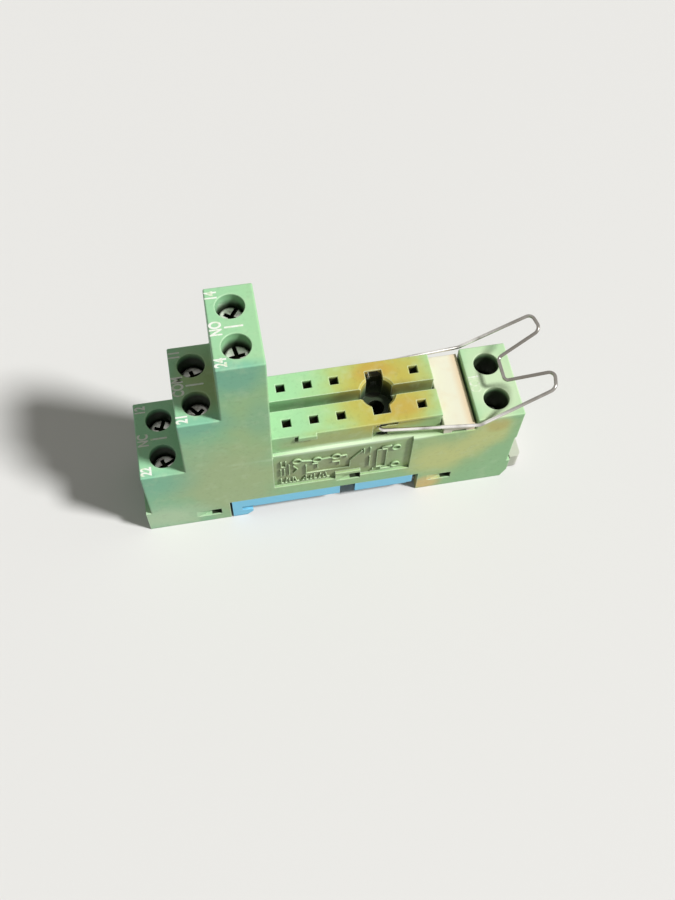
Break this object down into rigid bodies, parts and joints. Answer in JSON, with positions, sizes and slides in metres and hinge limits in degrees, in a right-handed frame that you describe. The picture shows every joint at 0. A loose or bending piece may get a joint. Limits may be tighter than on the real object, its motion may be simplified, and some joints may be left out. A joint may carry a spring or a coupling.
{
  "type": "relay socket",
  "caption": "Plug-in relay socket for a mounting rail: stepped screw terminals, relay pin seat, swinging wire retaining clip and sliding rail latch.",
  "frame": {"origin": "middle of the mounting rail, on the plane that the rail presses on", "axes": "+X along the socket towards the coil terminals, +Y along the rail, +Z away from the rail"},
  "size_m": [0.0771, 0.018, 0.0533],
  "materials": {
    "housing_green": "moulded satin, heat-stained yellow around the centre",
    "base_blue": "moulded satin",
    "latch_white": "moulded satin",
    "marker_cream": "smooth",
    "clip_steel": "bright spring wire",
    "screw_steel": "dull plated",
    "clamp_steel": "dull plated",
    "contact_brass": "stamped"
  },
  "bodies": {
    "housing": {"housing": "housing_green", "rail_base": "base_blue", "marker_plate": "marker_cream", "contact_nc_front": "contact_brass", "contact_nc_back": "contact_brass", "contact_com_front": "contact_brass", "contact_com_back": "contact_brass", "contact_no_front": "contact_brass", "contact_no_back": "contact_brass", "contact_coil_front": "contact_brass", "contact_coil_back": "contact_brass"},
    "retaining_clip": {"retaining_clip": "clip_steel"},
    "rail_latch": {"rail_latch": "latch_white"},
    "screw_nc_front": {"screw_nc_front": "screw_steel"},
    "clamp_nc_front": {"clamp_nc_front": "clamp_steel"},
    "screw_nc_back": {"screw_nc_back": "screw_steel"},
    "clamp_nc_back": {"clamp_nc_back": "clamp_steel"},
    "screw_com_front": {"screw_com_front": "screw_steel"},
    "clamp_com_front": {"clamp_com_front": "clamp_steel"},
    "screw_com_back": {"screw_com_back": "screw_steel"},
    "clamp_com_back": {"clamp_com_back": "clamp_steel"},
    "screw_no_front": {"screw_no_front": "screw_steel"},
    "clamp_no_front": {"clamp_no_front": "clamp_steel"},
    "screw_no_back": {"screw_no_back": "screw_steel"},
    "clamp_no_back": {"clamp_no_back": "clamp_steel"},
    "screw_coil_front": {"screw_coil_front": "screw_steel"},
    "clamp_coil_front": {"clamp_coil_front": "clamp_steel"},
    "screw_coil_back": {"screw_coil_back": "screw_steel"},
    "clamp_coil_back": {"clamp_coil_back": "clamp_steel"}
  },
  "joints": [
    {"name": "clip_swing", "type": "hinge", "parent": "housing", "child": "retaining_clip", "pos_m": [0.00895, 0, 0.0217], "axis": [0, -1, 0], "range_deg": [0, 110]},
    {"name": "latch_pull", "type": "slide", "parent": "housing", "child": "rail_latch", "axis": [1, 0, 0], "range_m": [0, 0.0025], "stiffness_N_per_m": 600, "springref_m": -0.001},
    {"name": "screw_nc_front_turn", "type": "hinge", "parent": "housing", "child": "screw_nc_front", "pos_m": [-0.0306, -0.00385, 0.0145], "axis": [0, 0, -1], "range_deg": [0, 1262]},
    {"name": "clamp_nc_front_lift", "type": "slide", "parent": "housing", "child": "clamp_nc_front", "axis": [0, 0, 1], "range_m": [0, 0.00175]},
    {"name": "screw_nc_back_turn", "type": "hinge", "parent": "housing", "child": "screw_nc_back", "pos_m": [-0.0306, 0.00385, 0.0145], "axis": [0, 0, -1], "range_deg": [0, 1262]},
    {"name": "clamp_nc_back_lift", "type": "slide", "parent": "housing", "child": "clamp_nc_back", "axis": [0, 0, 1], "range_m": [0, 0.00175]},
    {"name": "screw_com_front_turn", "type": "hinge", "parent": "housing", "child": "screw_com_front", "pos_m": [-0.02285, -0.00385, 0.031], "axis": [0, 0, -1], "range_deg": [0, 1262]},
    {"name": "clamp_com_front_lift", "type": "slide", "parent": "housing", "child": "clamp_com_front", "axis": [0, 0, 1], "range_m": [0, 0.00175]},
    {"name": "screw_com_back_turn", "type": "hinge", "parent": "housing", "child": "screw_com_back", "pos_m": [-0.02285, 0.00385, 0.031], "axis": [0, 0, -1], "range_deg": [0, 1262]},
    {"name": "clamp_com_back_lift", "type": "slide", "parent": "housing", "child": "clamp_com_back", "axis": [0, 0, 1], "range_m": [0, 0.00175]},
    {"name": "screw_no_front_turn", "type": "hinge", "parent": "housing", "child": "screw_no_front", "pos_m": [-0.01505, -0.00385, 0.0469], "axis": [0, 0, -1], "range_deg": [0, 1262]},
    {"name": "clamp_no_front_lift", "type": "slide", "parent": "housing", "child": "clamp_no_front", "axis": [0, 0, 1], "range_m": [0, 0.00175]},
    {"name": "screw_no_back_turn", "type": "hinge", "parent": "housing", "child": "screw_no_back", "pos_m": [-0.01505, 0.00385, 0.0469], "axis": [0, 0, -1], "range_deg": [0, 1262]},
    {"name": "clamp_no_back_lift", "type": "slide", "parent": "housing", "child": "clamp_no_back", "axis": [0, 0, 1], "range_m": [0, 0.00175]},
    {"name": "screw_coil_front_turn", "type": "hinge", "parent": "housing", "child": "screw_coil_front", "pos_m": [0.03165, -0.00385, 0.0152], "axis": [0, 0, -1], "range_deg": [0, 1262]},
    {"name": "clamp_coil_front_lift", "type": "slide", "parent": "housing", "child": "clamp_coil_front", "axis": [0, 0, 1], "range_m": [0, 0.00175]},
    {"name": "screw_coil_back_turn", "type": "hinge", "parent": "housing", "child": "screw_coil_back", "pos_m": [0.03165, 0.00385, 0.0152], "axis": [0, 0, -1], "range_deg": [0, 1262]},
    {"name": "clamp_coil_back_lift", "type": "slide", "parent": "housing", "child": "clamp_coil_back", "axis": [0, 0, 1], "range_m": [0, 0.00175]}
  ],
  "couplings": [
    {"joint": "screw_nc_front_turn", "follows": "clamp_nc_front_lift", "rad_per_m": 12566},
    {"joint": "screw_nc_back_turn", "follows": "clamp_nc_back_lift", "rad_per_m": 12566},
    {"joint": "screw_com_front_turn", "follows": "clamp_com_front_lift", "rad_per_m": 12566},
    {"joint": "screw_com_back_turn", "follows": "clamp_com_back_lift", "rad_per_m": 12566},
    {"joint": "screw_no_front_turn", "follows": "clamp_no_front_lift", "rad_per_m": 12566},
    {"joint": "screw_no_back_turn", "follows": "clamp_no_back_lift", "rad_per_m": 12566},
    {"joint": "screw_coil_front_turn", "follows": "clamp_coil_front_lift", "rad_per_m": 12566},
    {"joint": "screw_coil_back_turn", "follows": "clamp_coil_back_lift", "rad_per_m": 12566}
  ]
}
